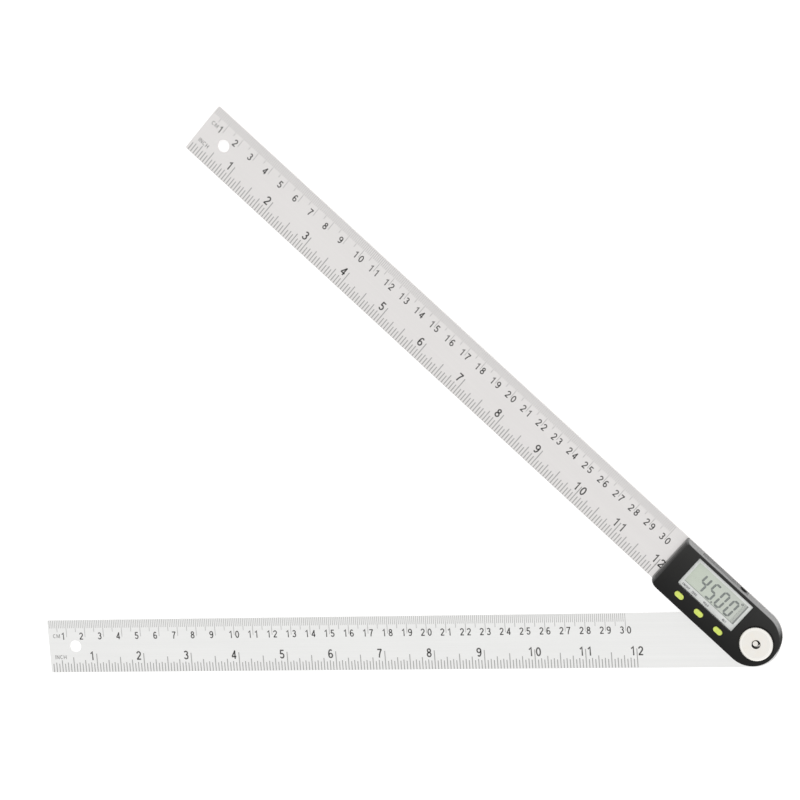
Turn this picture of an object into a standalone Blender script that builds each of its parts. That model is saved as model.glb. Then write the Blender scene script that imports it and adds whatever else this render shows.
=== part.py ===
"""A digital angle finder: two steel rules hinged at one end, with a display housing over the hinge.

Lengths are in metres and +Z points up. The tool lies on its back. The origin is on the hinge axis, at the
rear face of the pivot stud. Each arm is drawn in its own frame: the hinge is at its origin, the arm runs
towards -X, and the centimetre edge is at +Y. The lower arm's frame is the world's, and the display arm's
frame is turned by the angle between the arms.
"""

import math

import bmesh
import bpy

# Arms
ARM_ANGLE = math.radians(45)
RULE_REACH = 0.3652
RULE_THICKNESS = 0.0010
RULE_CORNER_RADIUS = 0.0008
HANG_HOLE_RADIUS = 0.0030
HANG_HOLE_INSET = 0.0143
ROUND_END_SETBACK = 0.0035

# Gaps and finish
STACK_GAP = 0.0001
FIT_GAP = 0.00015
RUNNING_GAP = 0.0001
CUT_OVERRUN = 0.0010
WELD_DISTANCE = 0.000001
SMOOTH_ANGLE = math.radians(30)
FLAT_ANGLE = math.radians(1)
RIGHT_EDGE_ANGLE = math.radians(60)
ROUND_STEPS = 48
SMALL_ROUND_STEPS = 24
CORNER_STEPS = 4

# Pivot stud, washers, ring and bush
STUD_RADIUS = 0.0040
STUD_HEAD_THICKNESS = 0.0008
STUD_HEAD_CHAMFER = 0.0003
STUD_KEY_STEP = 0.0010
STUD_FLAT_DEPTH = 0.0008
SPIGOT_RADIUS = 0.0030
SPIGOT_FLAT_DEPTH = 0.0005
THREAD_RADIUS = 0.0019
THREAD_CHAMFER = 0.0003
THREAD_ENGAGEMENT = 0.0017
TIP_FLAT_DEPTH = 0.0011
TIP_FLAT_TURN = math.radians(-65)
BLADE_WASHER_THICKNESS = 0.0003
BLADE_WASHER_WIDTH = 0.0048
BUSH_WALL = 0.0009
BUSH_FLANGE_WIDTH = 0.0015
BUSH_FLANGE_THICKNESS = 0.0005
WAVE_WASHER_THICKNESS = 0.0002
WAVE_WASHER_WIDTH = 0.0020
WAVE_HEIGHT = 0.0002
WAVE_COUNT = 3
RING_THICKNESS = 0.0006
RING_WIDTH = 0.0022
RING_GROOVE_DEPTH = 0.0008
RING_OPENING = math.radians(70)
ROTOR_THICKNESS = 0.0008
ROTOR_WALL_GAP = 0.0006
SENSOR_AIR_GAP = 0.00025

# Battery and its tray
CELL_RADIUS = 0.0100
CELL_THICKNESS = 0.0032
CELL_STEP = 0.0008
CELL_STEP_HEIGHT = 0.0004
CELL_EDGE_ROUND = 0.0003
CELL_ABOVE_TRAY = 0.0002
TRAY_WALL = 0.0011
TRAY_FLOOR = 0.0004
TRAY_FLOOR_LIP = 0.0030
TRAY_GRIP_LENGTH = 0.0055
TRAY_GRIP_RADIUS = 0.0035
TRAY_GRIP_DEPTH = 0.0007
CONTACT_BAY = 0.0032
CONTACT_SPACE = 0.0004
CONTACT_THICKNESS = 0.0002
CONTACT_WIDTH = 0.0040
CONTACT_LENGTH = 0.0110
CONTACT_LEG_DROP = 0.0022
CONTACT_FOOT = 0.0020

# Housing
HOUSING_WALL = 0.0012
FACE_WALL = 0.0012
FACE_EDGE_RADIUS = 0.0006
FACE_EDGE_STEPS = 3
HOUSING_CORNER_RADIUS = 0.0015
INNER_CORNER_RADIUS = 0.0003
HOUSING_ROUND_STEPS = 32
END_ROUND_RUN = 0.0042
END_ROUND_LEVELS = (0.35, 0.62, 0.80, 0.90)
KNOB_TO_WINDOW = 0.00405
WINDOW_TO_END_ROUND = 0.00685
BASE_PLATE_THICKNESS = 0.0006
RAIL_WIDTH = 0.0008
RAIL_HEIGHT = 0.0016
BOSS_RADIUS = 0.0019
BOSS_WINDOW_GAP = 0.0005
BOSS_WALL_OVERLAP = 0.0002

# Housing screws
SCREW_RADIUS = 0.0010
SCREW_HEAD_RADIUS = 0.0018
SCREW_HEAD_DEPTH = 0.0008
SCREW_LENGTH = 0.0056
SCREW_CROSS_WIDTH = 0.0004
SCREW_CROSS_REACH = 0.0010
SCREW_CROSS_DEPTH = 0.0005

# Display
WINDOW_LENGTH = 0.0340
WINDOW_EDGE_MARGIN = 0.0016
WINDOW_CORNER_RADIUS = 0.0003
WINDOW_RECESS = 0.00005
LENS_THICKNESS = 0.0008
LENS_EDGE_CHAMFER = 0.00015
FRAME_LIP_THICKNESS = 0.0003
FRAME_RIM = 0.0007
FRAME_SIDE_MARGIN = 0.0015
FRAME_LEGEND_STRIP = 0.0029
GLASS_THICKNESS = 0.0010
BOARD_THICKNESS = 0.0006
BOARD_EDGE_GAP = 0.0003
BOARD_BORE_GAP = 0.0004
CHIP_SIZE = 0.0045
CHIP_THICKNESS = 0.0010
CHIP_CHAMFER = 0.0002

# Buttons
BUTTON_COUNT = 3
BUTTON_LENGTH = 0.0050
BUTTON_WIDTH = 0.00265
BUTTON_PITCH = 0.01235
BUTTON_EDGE_MARGIN = 0.00525
BUTTON_TO_WINDOW = 0.0028
BUTTON_FLANGE_WIDTH = 0.0005
BUTTON_PROUD = 0.0005
BUTTON_TOP_ROUND = 0.00035
BUTTON_TRAVEL = 0.0004
BUTTON_TOP_STEPS = 2
DOME_RADIUS = 0.0020
DOME_TOP_RADIUS = 0.0009
DOME_HEIGHT = 0.0002
DOME_SHEET_THICKNESS = 0.0001
DOME_SHEET_MARGIN = 0.0005

# Lock knob
KNOB_RADIUS = 0.0081
KNOB_THICKNESS = 0.0020
KNOB_TOP_CHAMFER = 0.0005
KNOB_BOTTOM_CHAMFER = 0.0003
KNOB_HOLE_CHAMFER = 0.0003
KNOB_RECESS_DEPTH = 0.0005
KNOB_RECESS_GAP = 0.0006
KNURL_COUNT = 60
KNURL_DEPTH = 0.00022
KNURL_CREST_RISE = 0.0003

# Heights, from the bench up
lower_rule_z = STUD_HEAD_THICKNESS + STACK_GAP
lower_rule_top = lower_rule_z + RULE_THICKNESS
blade_washer_z = lower_rule_top + STACK_GAP
display_rule_z = blade_washer_z + BLADE_WASHER_THICKNESS + STACK_GAP
housing_z = display_rule_z + RULE_THICKNESS + STACK_GAP
base_plate_top = housing_z + BASE_PLATE_THICKNESS
tray_z = base_plate_top + FIT_GAP
cell_z = tray_z + TRAY_FLOOR + STACK_GAP
cell_top = cell_z + CELL_THICKNESS
board_z = cell_top + CONTACT_SPACE
board_top = board_z + BOARD_THICKNESS
frame_z = board_top + STACK_GAP
glass_z = frame_z + STACK_GAP
frame_top = glass_z + GLASS_THICKNESS + STACK_GAP + FRAME_LIP_THICKNESS
lens_z = frame_top + STACK_GAP
face_z = lens_z + LENS_THICKNESS + WINDOW_RECESS
ceiling_z = face_z - FACE_WALL
knob_z = face_z - KNOB_RECESS_DEPTH + FIT_GAP
bush_flange_z = base_plate_top + STACK_GAP
wave_washer_z = bush_flange_z + BUSH_FLANGE_THICKNESS + STACK_GAP
ring_z = wave_washer_z + WAVE_HEIGHT + WAVE_WASHER_THICKNESS + STACK_GAP
rotor_z = board_z - SENSOR_AIR_GAP - ROTOR_THICKNESS
dome_sheet_z = board_top + STACK_GAP
dome_top = dome_sheet_z + DOME_SHEET_THICKNESS + DOME_HEIGHT
tray_slot_top = cell_top + FIT_GAP

# Widths. The housing takes the cell, its tray and the contact side by side, and the rules are as wide.
cell_pocket_radius = CELL_RADIUS + FIT_GAP
tray_half_width = cell_pocket_radius + TRAY_WALL
half_width = (
    HOUSING_WALL + CELL_RADIUS + FIT_GAP + TRAY_WALL / 2 + (CONTACT_BAY + FIT_GAP) / 2
)
cell_y = half_width - HOUSING_WALL - FIT_GAP - cell_pocket_radius
tray_inner_y = cell_y - cell_pocket_radius - TRAY_WALL
window_top_y = half_width - WINDOW_EDGE_MARGIN
button_y = BUTTON_EDGE_MARGIN - half_width
window_bottom_y = button_y + BUTTON_WIDTH / 2 + BUTTON_TO_WINDOW
inner_radius = half_width - HOUSING_WALL
boss_y = inner_radius + BOSS_WALL_OVERLAP - BOSS_RADIUS

# Places along the display arm, measured from the hinge towards -X
recess_radius = KNOB_RADIUS + KNOB_RECESS_GAP
window_near_x = -(recess_radius + KNOB_TO_WINDOW)
window_far_x = window_near_x - WINDOW_LENGTH
window_middle_x = (window_near_x + window_far_x) / 2
far_bay_x = window_far_x - WINDOW_TO_END_ROUND / 2
housing_reach = WINDOW_TO_END_ROUND + END_ROUND_RUN - window_far_x
cell_x = window_far_x + tray_half_width
boss_near_x = window_near_x + BOSS_RADIUS + BOSS_WINDOW_GAP
boss_places = [
    (far_bay_x, boss_y),
    (far_bay_x, -boss_y),
    (boss_near_x, boss_y),
    (boss_near_x, -boss_y),
]
tray_far_x = cell_x - tray_half_width
tray_near_x = cell_x + tray_half_width
tray_face_near_x = tray_near_x + TRAY_GRIP_LENGTH

# Radii on the hinge axis
key_radius = STUD_RADIUS + STUD_KEY_STEP
bush_bore_radius = STUD_RADIUS + RUNNING_GAP
bush_radius = bush_bore_radius + BUSH_WALL
groove_radius = STUD_RADIUS - RING_GROOVE_DEPTH
rotor_radius = inner_radius - ROUND_END_SETBACK - ROTOR_WALL_GAP
stud_head_radius = KNOB_RADIUS


def clear_scene():
    for obj in list(bpy.data.objects):
        bpy.data.objects.remove(obj)


def new_collection(name):
    collection = bpy.data.collections.new(name)
    bpy.context.scene.collection.children.link(collection)
    return collection


clear_scene()
pieces = new_collection("angle_finder")
cutters = new_collection("cutters")
cutters.hide_render = True


def new_axis(name, turn):
    """An empty on the hinge axis that carries the pieces of one arm."""
    axis = bpy.data.objects.new(name, None)
    axis.rotation_euler.z = turn
    pieces.objects.link(axis)
    return axis


lower_arm = new_axis("lower_arm_axis", 0)
display_arm = new_axis("display_arm_axis", -ARM_ANGLE)


def new_material(name, colour, roughness, metallic=0.0, transmission=0.0):
    made = bpy.data.materials.new(name)
    made.use_nodes = True
    made.diffuse_color = (*colour, 1.0)
    shader = made.node_tree.nodes["Principled BSDF"]
    shader.inputs["Base Color"].default_value = (*colour, 1.0)
    shader.inputs["Roughness"].default_value = roughness
    shader.inputs["Metallic"].default_value = metallic
    shader.inputs["Transmission Weight"].default_value = transmission
    return made


def add_piece(name, mesh, material, parent, place=(0, 0, 0)):
    """A visible piece, standing at a place in its parent's frame."""
    mesh.materials.clear()
    mesh.materials.append(material)
    mesh.shade_smooth()
    mesh.set_sharp_from_angle(angle=SMOOTH_ANGLE)
    obj = bpy.data.objects.new(name, mesh)
    obj.parent = parent
    obj.location = place
    pieces.objects.link(obj)
    return obj


def add_cutter(name, mesh, parent, place=(0, 0, 0)):
    """A helper that a Boolean reads. It isn't part of the model."""
    obj = bpy.data.objects.new(name, mesh)
    obj.parent = parent
    obj.location = place
    obj.hide_render = True
    obj.display_type = "WIRE"
    cutters.objects.link(obj)
    return obj


def combine(obj, other, operation="DIFFERENCE"):
    boolean = obj.modifiers.new(other.name, "BOOLEAN")
    boolean.operation = operation
    boolean.solver = "EXACT"
    boolean.object = other


def arc(centre, radius, start, turn, steps):
    """Points along an arc from the angle start through the angle turn, with both ends."""
    x, y = centre
    angles = [start + turn * step / steps for step in range(steps + 1)]
    return [(x + radius * math.cos(a), y + radius * math.sin(a)) for a in angles]


def circle(centre, radius, steps=ROUND_STEPS):
    return arc(centre, radius, 0, math.tau, steps)[:-1]


def turned(points, angle):
    """The points turned about the origin."""
    along, across = math.cos(angle), math.sin(angle)
    return [(x * along - y * across, x * across + y * along) for x, y in points]


def rounded_box(low, high, radius, steps=CORNER_STEPS):
    """Outline of a rectangle with rounded corners, anticlockwise."""
    (x0, y0), (x1, y1) = low, high
    quarter = math.pi / 2
    centres = [
        (x1 - radius, y1 - radius),
        (x0 + radius, y1 - radius),
        (x0 + radius, y0 + radius),
        (x1 - radius, y0 + radius),
    ]
    points = []
    for index, centre in enumerate(centres):
        points += arc(centre, radius, index * quarter, quarter, steps)
    return points


def stadium(length, width, steps=SMALL_ROUND_STEPS // 2):
    """Outline with two half-round ends, long along X."""
    run = (length - width) / 2
    right = arc((run, 0), width / 2, -math.pi / 2, math.pi, steps)
    left = arc((-run, 0), width / 2, math.pi / 2, math.pi, steps)
    return right + left


def arm_outline(reach, half, corner, steps):
    """Outline of a rule or a housing: square with small corners at -reach, and half round past the hinge."""
    quarter = math.pi / 2
    round_end = arc((-ROUND_END_SETBACK, 0), half, -quarter, math.pi, steps)
    far_top = arc((corner - reach, half - corner), corner, quarter, quarter, CORNER_STEPS)
    far_low = arc((corner - reach, corner - half), corner, math.pi, quarter, CORNER_STEPS)
    return round_end + far_top + far_low


def flat_sided_circle(radius, flat_distance, steps=SMALL_ROUND_STEPS):
    """Outline of a round bore with two flats, at +Y and -Y."""
    reach = math.asin(flat_distance / radius)
    right = arc((0, 0), radius, -reach, 2 * reach, steps // 2)
    left = arc((0, 0), radius, math.pi - reach, 2 * reach, steps // 2)
    return right + left


def slab_mesh(name, outlines, thickness):
    """A flat piece standing on z = 0. The first outline is its edge and the others are holes."""
    curve = bpy.data.curves.new(name, "CURVE")
    curve.dimensions = "2D"
    curve.fill_mode = "BOTH"
    curve.extrude = thickness / 2
    for points in outlines:
        spline = curve.splines.new("POLY")
        spline.points.add(len(points) - 1)
        for point, (x, y) in zip(spline.points, points, strict=True):
            point.co = (x, y, 0, 1)
        spline.use_cyclic_u = True
    guide = bpy.data.objects.new(name, curve)
    cutters.objects.link(guide)
    bpy.context.view_layer.update()
    graph = bpy.context.evaluated_depsgraph_get()
    mesh = bpy.data.meshes.new_from_object(guide.evaluated_get(graph))
    bpy.data.objects.remove(guide)
    welded = bmesh.new()
    welded.from_mesh(mesh)
    bmesh.ops.remove_doubles(welded, verts=welded.verts, dist=WELD_DISTANCE)
    bmesh.ops.translate(welded, verts=welded.verts, vec=(0, 0, thickness / 2))
    bmesh.ops.recalc_face_normals(welded, faces=welded.faces)
    welded.to_mesh(mesh)
    welded.free()
    mesh.name = name
    return mesh


def round_top_edge(obj, width, steps):
    """Rounds the edge of a slab's top face, once that face is a single polygon."""
    mesh = obj.data
    flat = bmesh.new()
    flat.from_mesh(mesh)
    bmesh.ops.dissolve_limit(flat, angle_limit=FLAT_ANGLE, verts=[], edges=flat.edges)
    flat.to_mesh(mesh)
    flat.free()
    height = max(vertex.co.z for vertex in mesh.vertices)
    top = [vertex.index for vertex in mesh.vertices if vertex.co.z > height - WELD_DISTANCE]
    group = obj.vertex_groups.new(name="top_edge")
    group.add(top, 1.0, "REPLACE")
    bevel = obj.modifiers.new("top_edge", "BEVEL")
    bevel.limit_method = "VGROUP"
    bevel.vertex_group = group.name
    bevel.width = width
    bevel.segments = steps


def turned_mesh(name, profile, closed=False):
    """The bare profile of a turned piece, as (radius, height) pairs that run down its outer side."""
    mesh = bpy.data.meshes.new(name)
    points = [(radius, 0, height) for radius, height in profile]
    edges = [(index, index + 1) for index in range(len(points) - 1)]
    if closed:
        edges.append((len(points) - 1, 0))
    mesh.from_pydata(points, edges, [])
    return mesh


def spin(obj, steps=ROUND_STEPS):
    """Turns a profile about its own Z axis into a solid."""
    screw = obj.modifiers.new("turn", "SCREW")
    screw.axis = "Z"
    screw.steps = steps
    screw.render_steps = steps
    screw.use_merge_vertices = True
    screw.merge_threshold = WELD_DISTANCE
    return obj


def box_mesh(name, low, high):
    mesh = bpy.data.meshes.new(name)
    cube = bmesh.new()
    bmesh.ops.create_cube(cube, size=1)
    sides = [b - a for a, b in zip(low, high, strict=True)]
    middle = [(a + b) / 2 for a, b in zip(low, high, strict=True)]
    bmesh.ops.scale(cube, verts=cube.verts, vec=sides)
    bmesh.ops.translate(cube, verts=cube.verts, vec=middle)
    cube.to_mesh(mesh)
    cube.free()
    return mesh


def cone_mesh(name, low_radius, high_radius, height, steps=SMALL_ROUND_STEPS):
    """A cone or cylinder standing on z = 0."""
    mesh = bpy.data.meshes.new(name)
    cone = bmesh.new()
    bmesh.ops.create_cone(
        cone,
        cap_ends=True,
        segments=steps,
        radius1=low_radius,
        radius2=high_radius,
        depth=height,
    )
    bmesh.ops.translate(cone, verts=cone.verts, vec=(0, 0, height / 2))
    cone.to_mesh(mesh)
    cone.free()
    return mesh


def round_cut(obj, name, centre, radius, low, high, steps=ROUND_STEPS):
    """A round hole straight through obj from z = low to z = high, in the frame of its arm."""
    mesh = cone_mesh(name, radius, radius, high - low, steps)
    combine(obj, add_cutter(name, mesh, obj.parent, (*centre, low)))


def outline_cut(obj, name, outline, low, high):
    mesh = slab_mesh(name, [outline], high - low)
    combine(obj, add_cutter(name, mesh, obj.parent, (0, 0, low)))


def box_cut(obj, name, low, high):
    combine(obj, add_cutter(name, box_mesh(name, low, high), obj.parent))


def end_reach(z, inset):
    """How far the housing's rounded end, drawn in by inset, lies from the hinge at the height z."""
    share = (z - housing_z) / (face_z - housing_z - inset)
    width = END_ROUND_RUN - inset
    return housing_reach - END_ROUND_RUN + width * math.sqrt(max(0, 1 - share * share))


def housing_block(name, inset, low, high):
    """A block on the housing's outline drawn in by inset, from z = low to z = high, with the rounded end."""
    corner = max(HOUSING_CORNER_RADIUS - inset, INNER_CORNER_RADIUS)
    low_end = end_reach(low, inset)
    outline = arm_outline(low_end, half_width - inset, corner, HOUSING_ROUND_STEPS)
    mesh = slab_mesh(name, [outline], high - low)
    shape = bmesh.new()
    shape.from_mesh(mesh)
    for share in END_ROUND_LEVELS:
        level = housing_z + share * (face_z - housing_z - inset)
        cut_far_end(shape, level - low)
    for vertex in shape.verts:
        if vertex.co.x < window_far_x:
            vertex.co.x += low_end - end_reach(low + vertex.co.z, inset)
    shape.to_mesh(mesh)
    shape.free()
    return mesh


def cut_far_end(shape, height):
    """Gives the faces past the window a row of vertices at the height, without parting them."""
    faces = [
        face for face in shape.faces if all(vertex.co.x < window_far_x for vertex in face.verts)
    ]
    edges = {edge for face in faces for edge in face.edges}
    vertices = {vertex for face in faces for vertex in face.verts}
    bmesh.ops.bisect_plane(
        shape,
        geom=[*vertices, *edges, *faces],
        plane_co=(0, 0, height),
        plane_no=(0, 0, 1),
        dist=WELD_DISTANCE,
    )


steel = new_material("rule_steel", (0.64, 0.63, 0.61), 0.34, 1.0)
knob_steel = new_material("knob_steel", (0.80, 0.78, 0.75), 0.30, 1.0)
stud_steel = new_material("stud_steel", (0.66, 0.64, 0.60), 0.28, 1.0)
spring_steel = new_material("spring_steel", (0.50, 0.50, 0.50), 0.35, 1.0)
brass = new_material("bush_brass", (0.72, 0.55, 0.26), 0.35, 1.0)
housing_plastic = new_material("housing_plastic", (0.026, 0.026, 0.028), 0.42)
tray_plastic = new_material("tray_plastic", (0.020, 0.020, 0.021), 0.55)
washer_plastic = new_material("washer_plastic", (0.10, 0.10, 0.10), 0.60)
button_plastic = new_material("button_plastic", (0.62, 0.84, 0.10), 0.45)
frame_plastic = new_material("frame_plastic", (0.80, 0.82, 0.82), 0.50)
display_glass = new_material("display_glass", (0.52, 0.58, 0.50), 0.25)
clear_plastic = new_material("clear_plastic", (0.95, 0.96, 0.96), 0.04, 0.0, 0.95)
board_green = new_material("board_green", (0.03, 0.16, 0.07), 0.45)
chip_black = new_material("chip_black", (0.02, 0.02, 0.02), 0.50)
film = new_material("dome_film", (0.75, 0.74, 0.70), 0.35)
contact_metal = new_material("contact_metal", (0.78, 0.72, 0.55), 0.30, 1.0)
cell_steel = new_material("cell_steel", (0.72, 0.72, 0.73), 0.25, 1.0)
screw_steel = new_material("screw_steel", (0.30, 0.30, 0.31), 0.35, 1.0)


def rule_outlines(bore):
    """A rule's edge, its hang hole and its bore."""
    edge = arm_outline(RULE_REACH, half_width, RULE_CORNER_RADIUS, HOUSING_ROUND_STEPS)
    hang_hole = circle((HANG_HOLE_INSET - RULE_REACH, 0), HANG_HOLE_RADIUS)
    return [edge, hang_hole, bore]


def make_lower_rule():
    bore = flat_sided_circle(key_radius + FIT_GAP, key_radius - STUD_FLAT_DEPTH + FIT_GAP)
    mesh = slab_mesh("lower_rule", rule_outlines(bore), RULE_THICKNESS)
    add_piece("lower_rule", mesh, steel, lower_arm, (0, 0, lower_rule_z))


def make_pivot_stud():
    """The stud is keyed to the lower rule, carries the display arm, and ends in the knob's thread."""
    shoulder_z = rotor_z - STACK_GAP
    spigot_top = ceiling_z
    thread_top = knob_z + THREAD_ENGAGEMENT
    profile = [
        (0, thread_top),
        (THREAD_RADIUS - THREAD_CHAMFER, thread_top),
        (THREAD_RADIUS, thread_top - THREAD_CHAMFER),
        (THREAD_RADIUS, spigot_top),
        (SPIGOT_RADIUS, spigot_top),
        (SPIGOT_RADIUS, shoulder_z),
        (STUD_RADIUS, shoulder_z),
        (STUD_RADIUS, ring_z + RING_THICKNESS + STACK_GAP),
        (groove_radius, ring_z + RING_THICKNESS + STACK_GAP),
        (groove_radius, ring_z - STACK_GAP),
        (STUD_RADIUS, ring_z - STACK_GAP),
        (STUD_RADIUS, lower_rule_top),
        (key_radius, lower_rule_top),
        (key_radius, STUD_HEAD_THICKNESS),
        (stud_head_radius, STUD_HEAD_THICKNESS),
        (stud_head_radius, STUD_HEAD_CHAMFER),
        (stud_head_radius - STUD_HEAD_CHAMFER, 0),
        (0, 0),
    ]
    stud = spin(add_piece("pivot_stud", turned_mesh("pivot_stud", profile), stud_steel, lower_arm))
    flat_y = key_radius - STUD_FLAT_DEPTH
    key_low = STUD_HEAD_THICKNESS + STACK_GAP / 2
    for side in (-1, 1):
        near, far = sorted((side * flat_y, side * (key_radius + CUT_OVERRUN)))
        name = f"key_flat_{'low' if side < 0 else 'high'}"
        span = key_radius + CUT_OVERRUN
        box_cut(stud, name, (-span, near, key_low), (span, far, lower_rule_top + STACK_GAP / 2))
    flat_x = SPIGOT_RADIUS - SPIGOT_FLAT_DEPTH
    box_cut(
        stud,
        "spigot_flat",
        (flat_x, -SPIGOT_RADIUS, shoulder_z),
        (SPIGOT_RADIUS + CUT_OVERRUN, SPIGOT_RADIUS, spigot_top + STACK_GAP),
    )
    near = THREAD_RADIUS - TIP_FLAT_DEPTH
    far = THREAD_RADIUS + CUT_OVERRUN
    corners = [(near, -far), (far, -far), (far, far), (near, far)]
    beyond = turned(corners, TIP_FLAT_TURN)
    outline_cut(stud, "tip_flat", beyond, spigot_top + STACK_GAP, thread_top + CUT_OVERRUN)


def make_ring(name, inner, outer, z, thickness, material, parent):
    mesh = slab_mesh(name, [circle((0, 0), outer), circle((0, 0), inner)], thickness)
    return add_piece(name, mesh, material, parent, (0, 0, z))


def make_blade_washer():
    inner = STUD_RADIUS + RUNNING_GAP
    outer = inner + BLADE_WASHER_WIDTH
    make_ring(
        "blade_washer", inner, outer, blade_washer_z, BLADE_WASHER_THICKNESS, washer_plastic, lower_arm
    )


def make_wave_washer():
    """A spring washer bent into waves, between the bush and the retaining ring."""
    inner = STUD_RADIUS + RUNNING_GAP
    outer = inner + WAVE_WASHER_WIDTH
    washer = make_ring(
        "wave_washer", inner, outer, wave_washer_z, WAVE_WASHER_THICKNESS, spring_steel, lower_arm
    )
    for vertex in washer.data.vertices:
        angle = math.atan2(vertex.co.y, vertex.co.x)
        vertex.co.z += WAVE_HEIGHT * (1 + math.cos(WAVE_COUNT * angle)) / 2


def make_retaining_ring():
    """An open ring that snaps into the stud's groove from the side."""
    inner = groove_radius + RUNNING_GAP
    outer = inner + RING_WIDTH
    start = RING_OPENING / 2
    sweep = math.tau - RING_OPENING
    outline = arc((0, 0), outer, start, sweep, ROUND_STEPS)
    outline += arc((0, 0), inner, start + sweep, -sweep, ROUND_STEPS)
    mesh = slab_mesh("retaining_ring", [outline], RING_THICKNESS)
    add_piece("retaining_ring", mesh, spring_steel, lower_arm, (0, 0, ring_z))


def make_encoder_rotor():
    """The turning disc of the angle sensor, with a flat in its bore."""
    bore_radius = SPIGOT_RADIUS + FIT_GAP
    flat_x = SPIGOT_RADIUS - SPIGOT_FLAT_DEPTH + FIT_GAP
    reach = math.acos(flat_x / bore_radius)
    bore = arc((0, 0), bore_radius, reach, math.tau - 2 * reach, SMALL_ROUND_STEPS)
    mesh = slab_mesh("encoder_rotor", [circle((0, 0), rotor_radius), bore], ROTOR_THICKNESS)
    add_piece("encoder_rotor", mesh, board_green, lower_arm, (0, 0, rotor_z))


def make_display_rule():
    bore = circle((0, 0), bush_radius + RUNNING_GAP)
    mesh = slab_mesh("display_rule", rule_outlines(bore), RULE_THICKNESS)
    rule = add_piece("display_rule", mesh, steel, display_arm, (0, 0, display_rule_z))
    head_radius = SCREW_HEAD_RADIUS + FIT_GAP
    neck_radius = SCREW_RADIUS + FIT_GAP
    slope = (head_radius - neck_radius) / SCREW_HEAD_DEPTH
    depth = SCREW_HEAD_DEPTH + CUT_OVERRUN
    wide_radius = head_radius + slope * CUT_OVERRUN
    for index, (x, y) in enumerate(boss_places, 1):
        name = f"screw_hole_{index}"
        round_cut(
            rule,
            name,
            (x, y),
            neck_radius,
            display_rule_z - CUT_OVERRUN,
            housing_z + CUT_OVERRUN,
            SMALL_ROUND_STEPS,
        )
        sink = cone_mesh(f"countersink_{index}", wide_radius, neck_radius, depth)
        place = (x, y, display_rule_z - CUT_OVERRUN)
        combine(rule, add_cutter(f"countersink_{index}", sink, display_arm, place))


def make_pivot_bush():
    """A flanged bush through the display rule and the base plate, turning on the stud."""
    top = bush_flange_z + BUSH_FLANGE_THICKNESS
    low = display_rule_z + STACK_GAP / 2
    flange = bush_radius + BUSH_FLANGE_WIDTH
    profile = [
        (bush_bore_radius, top),
        (flange, top),
        (flange, bush_flange_z),
        (bush_radius, bush_flange_z),
        (bush_radius, low),
        (bush_bore_radius, low),
    ]
    spin(add_piece("pivot_bush", turned_mesh("pivot_bush", profile, True), brass, display_arm))


def make_base_plate():
    """A thin plate inside the housing, with two rails that guide the battery tray."""
    reach = end_reach(base_plate_top, HOUSING_WALL) - 2 * FIT_GAP
    edge = arm_outline(reach, inner_radius - FIT_GAP, HOUSING_CORNER_RADIUS, HOUSING_ROUND_STEPS)
    holes = [circle((0, 0), bush_radius + RUNNING_GAP)]
    for place in boss_places:
        holes.append(circle(place, SCREW_RADIUS + FIT_GAP, SMALL_ROUND_STEPS))
    mesh = slab_mesh("base_plate", [edge, *holes], BASE_PLATE_THICKNESS)
    plate = add_piece("base_plate", mesh, tray_plastic, display_arm, (0, 0, housing_z))
    rail_low_y = tray_inner_y
    rail_high_y = inner_radius - 2 * FIT_GAP - HOUSING_CORNER_RADIUS
    rails = {
        "rail_far": tray_far_x - FIT_GAP - RAIL_WIDTH,
        "rail_near": tray_near_x + FIT_GAP,
    }
    for name, x in rails.items():
        low = (x, rail_low_y, housing_z + BASE_PLATE_THICKNESS / 2)
        high = (x + RAIL_WIDTH, rail_high_y, base_plate_top + RAIL_HEIGHT)
        combine(plate, add_cutter(name, box_mesh(name, low, high), display_arm), "UNION")


def make_front_housing():
    """The moulded shell: a hollow block with a sloping end, cut for all that shows through it."""
    mesh = housing_block("front_housing", 0, housing_z, face_z)
    shell = add_piece("front_housing", mesh, housing_plastic, display_arm, (0, 0, housing_z))
    round_top_edge(shell, FACE_EDGE_RADIUS, FACE_EDGE_STEPS)
    cavity = housing_block("cavity", HOUSING_WALL, housing_z - CUT_OVERRUN, ceiling_z)
    combine(shell, add_cutter("cavity", cavity, display_arm, (0, 0, housing_z - CUT_OVERRUN)))
    add_bosses(shell)
    cut_window(shell)
    cut_button_slots(shell)
    cut_tray_slot(shell)
    floor_z = face_z - KNOB_RECESS_DEPTH
    round_cut(shell, "knob_recess", (0, 0), recess_radius, floor_z, face_z + CUT_OVERRUN)
    bore_radius = SPIGOT_RADIUS + BOARD_BORE_GAP
    round_cut(
        shell, "stud_bore", (0, 0), bore_radius, ceiling_z - CUT_OVERRUN, face_z + CUT_OVERRUN
    )


def add_bosses(shell):
    """Screw bosses hang from the face's inside and end on the base plate."""
    low = base_plate_top + STACK_GAP
    high = ceiling_z + FACE_WALL / 2
    for index, (x, y) in enumerate(boss_places, 1):
        name = f"boss_{index}"
        mesh = cone_mesh(name, BOSS_RADIUS, BOSS_RADIUS, high - low)
        combine(shell, add_cutter(name, mesh, display_arm, (x, y, low)), "UNION")
        round_cut(
            shell,
            f"boss_bore_{index}",
            (x, y),
            SCREW_RADIUS + FIT_GAP,
            low - CUT_OVERRUN,
            display_rule_z + SCREW_LENGTH + FIT_GAP,
            SMALL_ROUND_STEPS,
        )


def cut_window(shell):
    low = (window_far_x - FIT_GAP, window_bottom_y - FIT_GAP)
    high = (window_near_x + FIT_GAP, window_top_y + FIT_GAP)
    outline = rounded_box(low, high, WINDOW_CORNER_RADIUS + FIT_GAP)
    outline_cut(shell, "window", outline, ceiling_z - CUT_OVERRUN, face_z + CUT_OVERRUN)


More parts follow.
